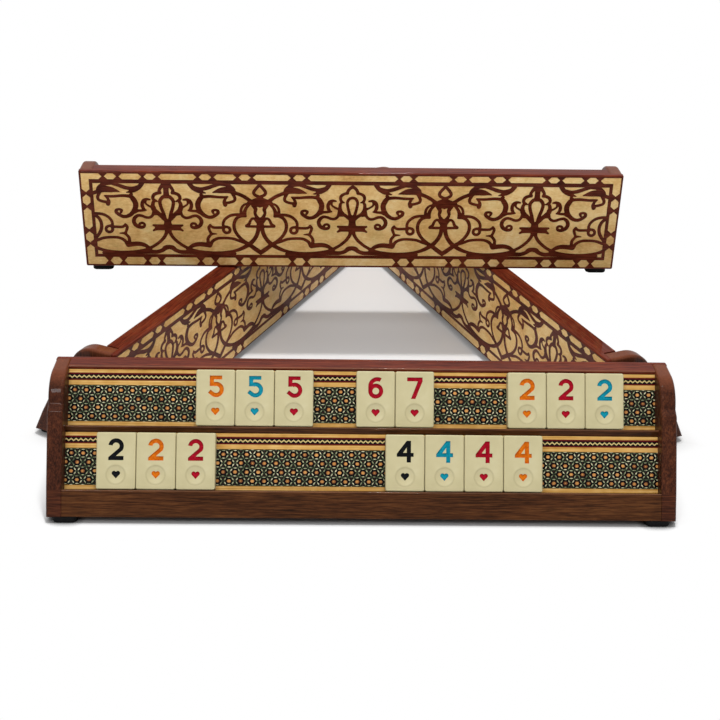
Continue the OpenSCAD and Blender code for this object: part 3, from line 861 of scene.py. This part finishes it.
UPPER_A, UPPER_B, UPPER_C = 82.7, INNER_LEN / 2 - 4.7, INNER_LEN - 22.2 - group_len(3)
LOWER_A, LOWER_B = 21.2, INNER_LEN - 75.8 - group_len(4)
# Where each tile stands: its paint, its tier, its group's start from the left cap, and its place in the group
TILES = {
    "tile_5_orange": ("orange", "upper", UPPER_A, 0), "tile_5_teal": ("teal", "upper", UPPER_A, 1),
    "tile_5_red": ("red", "upper", UPPER_A, 2), "tile_6_red": ("red", "upper", UPPER_B, 0),
    "tile_7_red": ("red", "upper", UPPER_B, 1), "tile_2_orange_upper": ("orange", "upper", UPPER_C, 0),
    "tile_2_red_upper": ("red", "upper", UPPER_C, 1), "tile_2_teal": ("teal", "upper", UPPER_C, 2),
    "tile_2_black": ("black", "lower", LOWER_A, 0), "tile_2_orange_lower": ("orange", "lower", LOWER_A, 1),
    "tile_2_red_lower": ("red", "lower", LOWER_A, 2), "tile_4_black": ("black", "lower", LOWER_B, 0),
    "tile_4_teal": ("teal", "lower", LOWER_B, 1), "tile_4_red": ("red", "lower", LOWER_B, 2),
    "tile_4_orange": ("orange", "lower", LOWER_B, 3),
}


def painted(face):
    """Whether a face of a tile, in its own frame, is the floor or wall of its digit or heart."""
    c = face.calc_center_median()
    if c.z > TILE_T - 0.02 or c.z < TILE_T - 2.5:
        return False
    if abs(c.x) > TILE_W / 2 - 2 or c.y > TILE_H - 2 or c.y < 2:
        return False
    if c.y > DIGIT_LOW - 0.5:
        return True
    upright = abs(face.normal.z) < 0.2
    floor = c.z < TILE_T - DIMPLE_DEPTH - ENGRAVE / 2 + 0.05
    return upright or floor


def on_side(face):
    """Whether a face is one of a tile's upright sides, in the tile's own frame."""
    c = face.calc_center_median()
    return abs(face.normal.z) < 0.1 and (abs(c.x) > TILE_W / 2 - TILE_R
                                         or abs(c.y - TILE_H / 2) > TILE_H / 2 - TILE_R)


def on_dimple_rim(vert):
    """Whether a point of a tile lies where its dimple meets its face, which stays a sharp line."""
    from_middle = math.hypot(vert.co.x, vert.co.y - DIMPLE_UP)
    return near(vert.co.z, TILE_T, 0.01) and near(from_middle, DIMPLE_D / 2, 0.1)


def dress_tile(name, colour, tier, start, index):
    """A tile with rounded rims, and paint in its digit and heart."""
    foot = TIERS[tier] + TILE_CLEAR * (UP - IN)
    x = -INNER_LEN / 2 + start + TILE_W / 2 + index * (TILE_W + TILE_GAP)
    place = RACKS["front"] @ Matrix.Translation((x * MM, 0, 0)) @ on_slope(foot)
    bm = cad_mesh(name, place)
    rim = [e for e in bm.edges if len(e.link_faces) == 2 and e.calc_face_angle() > math.radians(60)
           and all(near(v.co.z, TILE_T) or near(v.co.z, 0) for v in e.verts)
           and any(on_side(f) for f in e.link_faces)]
    bmesh.ops.bevel(bm, geom=rim, offset=TILE_ROUND, segments=4, profile=0.5, affect="EDGES", clamp_overlap=False)
    for face in bm.faces:
        face.material_index = int(painted(face))
    for edge in bm.edges:
        edge.smooth = not all(on_dimple_rim(v) for v in edge.verts)
    mesh = to_mesh(bm, name + "_body", 32)
    mesh.materials.append(MATERIALS["tile"])
    mesh.materials.append(PAINTS[colour])
    obj = finish_piece(name + "_body", mesh, place, name, "tile", [name])
    obj.modifiers.new("flat_faces", "WEIGHTED_NORMAL").keep_sharp = True


for name, facts in TILES.items():
    dress_tile(name, *facts)


# ---------------------------------------------------------------- floor, light and camera
# Width of the floor's fade to white around the racks, the share of painted light that lifts the shade in the yard
# between them, and the sky's light
FLOOR_FADE, YARD_PAINTED_LIGHT, AMBIENT = 14.0, 0.12, 0.75


def white_to_the_eye(tree, lit, emitter, output, share=1.0):
    """Makes a share of a surface or the world plain white as it is seen, directly, in gloss and through glass.

    It lights the object as lit does.
    """
    seen = tree.add("ShaderNodeLightPath")
    direct = Value(tree, seen.outputs["Is Camera Ray"])
    for ray in ("Is Glossy Ray", "Is Transmission Ray"):
        direct = direct.math("MAXIMUM", seen.outputs[ray])
    white = tree.add(emitter, {"Color": (1, 1, 1, 1), "Strength": 1.0})
    both = tree.add("ShaderNodeMixShader", {0: direct * share, 1: lit, 2: white.outputs[0]})
    tree.links.new(both.outputs[0], tree.nodes[output].inputs["Surface"])


def outside(x, y, points):
    """How far a place on the floor, in millimetres, lies outside the hull of the points, as a value."""
    hull = [points[i] for i in convex_hull_2d(points)]
    far = x * 0
    for a, b in zip(hull, hull[1:] + hull[:1]):
        out = Vector((b.y - a.y, a.x - b.x)).normalized()
        far = far.math("MAXIMUM", x * out.x + y * out.y - out.dot(a))
    return far


def pale_floor():
    """A wide pale floor that takes the object's shadow and has painted shade where the racks close in over it; it
    fades to white around them, and painted light lifts the yard between them a little.
    """
    tree = material_tree("pale_floor")
    x, y, _ = tree.axes()
    feet = {rack: [(RACKS[rack] @ Vector((along * MM, across * MM, 0))).xy / MM
                   for along in (-RACK_LEN / 2, RACK_LEN / 2) for across in (0, RACK_D)]
            for rack in ("front", "left", "right")}
    far = outside(x, y, feet["front"]).math("MINIMUM", outside(x, y, feet["left"] + feet["right"]))
    # Painted light: a share of plain white that lifts the shade on the floor between the racks
    yard_painted_light = (y - (PAIR_Y - MIDDLE.y)).step(FLOOR_FADE, 2 * FLOOR_FADE) * YARD_PAINTED_LIGHT
    fade = (far / FLOOR_FADE).math("SMOOTH_MIN", 1.0, 0.2).math("MAXIMUM", yard_painted_light)
    # Painted shade: the floor's colour darkens where the racks close in over it, as in the gap under their feet
    painted_shade_source = tree.add("ShaderNodeAmbientOcclusion", {"Distance": 1.2 * PAD_H * MM}, samples=8)
    painted_shade_ao = Value(tree, painted_shade_source.outputs["AO"])
    colour = tree.mix(painted_shade_ao * painted_shade_ao, "#000000", "#f1f1f1")
    tree.set(Base_Color=colour, Roughness=0.9, Specular_IOR_Level=0.1)
    white_to_the_eye(tree, tree.shader.outputs[0], "ShaderNodeEmission", "Material Output", fade)
    return tree.block


bpy.ops.mesh.primitive_plane_add(size=12, location=(0, 0, 0))
floor = bpy.context.object
floor.name = "floor"
floor.data.materials.append(pale_floor())


def studio_world():
    """White to the eye, and to lacquer. It lights the object from above, and hardly from the horizon."""
    tree = Tree(bpy.data.worlds.new("studio"))
    direction = tree.add("ShaderNodeTexCoord").outputs["Generated"]
    height = Value(tree, tree.add("ShaderNodeSeparateXYZ", {"Vector": direction}).outputs["Z"])
    overhead = ((height - 0.2) / 0.5).math("ADD", 0.0, clamp=True)
    ambient = tree.nodes["Background"]
    ambient.inputs["Color"].default_value = (1, 1, 1, 1)
    tree.feed(ambient.inputs["Strength"], overhead * AMBIENT)
    white_to_the_eye(tree, ambient.outputs[0], "ShaderNodeBackground", "World Output")
    return tree.block


bpy.context.scene.world = studio_world()


def softbox(name, at, aim, size, watts):
    """A square area lamp at a point, turned towards another."""
    lamp = bpy.data.lights.new(name, "AREA")
    lamp.shape, lamp.size, lamp.energy = "SQUARE", size, watts
    obj = bpy.data.objects.new(name, lamp)
    bpy.context.scene.collection.objects.link(obj)
    obj.location = at
    obj.rotation_euler = (Vector(aim) - Vector(at)).to_track_quat("-Z", "Y").to_euler()


softbox("overhead", at=(0.1, -0.2, 1.5), aim=(0, 0, 0), size=0.12, watts=12)
softbox("front", at=(-0.5, -1.1, 1.25), aim=(0, -0.1, 0.05), size=0.3, watts=5)

# The photograph's camera, fitted to the corners of the four racks: pixels of a 720 px wide frame, and degrees
FOCAL_PX, PITCH, YAW, ROLL = 1234.69, math.radians(28.32), math.radians(1.55), math.radians(1.31)
CAMERA_AT = Vector((-21.47, -640.05, 464.31)) - MIDDLE
ahead = Vector((math.sin(YAW) * math.cos(PITCH), math.cos(YAW) * math.cos(PITCH), -math.sin(PITCH)))
level = Vector((math.cos(YAW), -math.sin(YAW), 0))
above = level.cross(ahead)
right = math.cos(ROLL) * level + math.sin(ROLL) * above
top = math.cos(ROLL) * above - math.sin(ROLL) * level

lens = bpy.data.cameras.new("photo_camera")
lens.sensor_width = 36
lens.lens = FOCAL_PX / 720 * 36
lens.clip_start, lens.clip_end = 0.05, 50
camera = bpy.data.objects.new("photo_camera", lens)
bpy.context.scene.collection.objects.link(camera)
turn = Matrix((right, top, -ahead)).transposed()
camera.matrix_world = Matrix.Translation(CAMERA_AT * MM) @ turn.to_4x4()
bpy.context.scene.camera = camera
bpy.context.scene.view_settings.view_transform = "Standard"
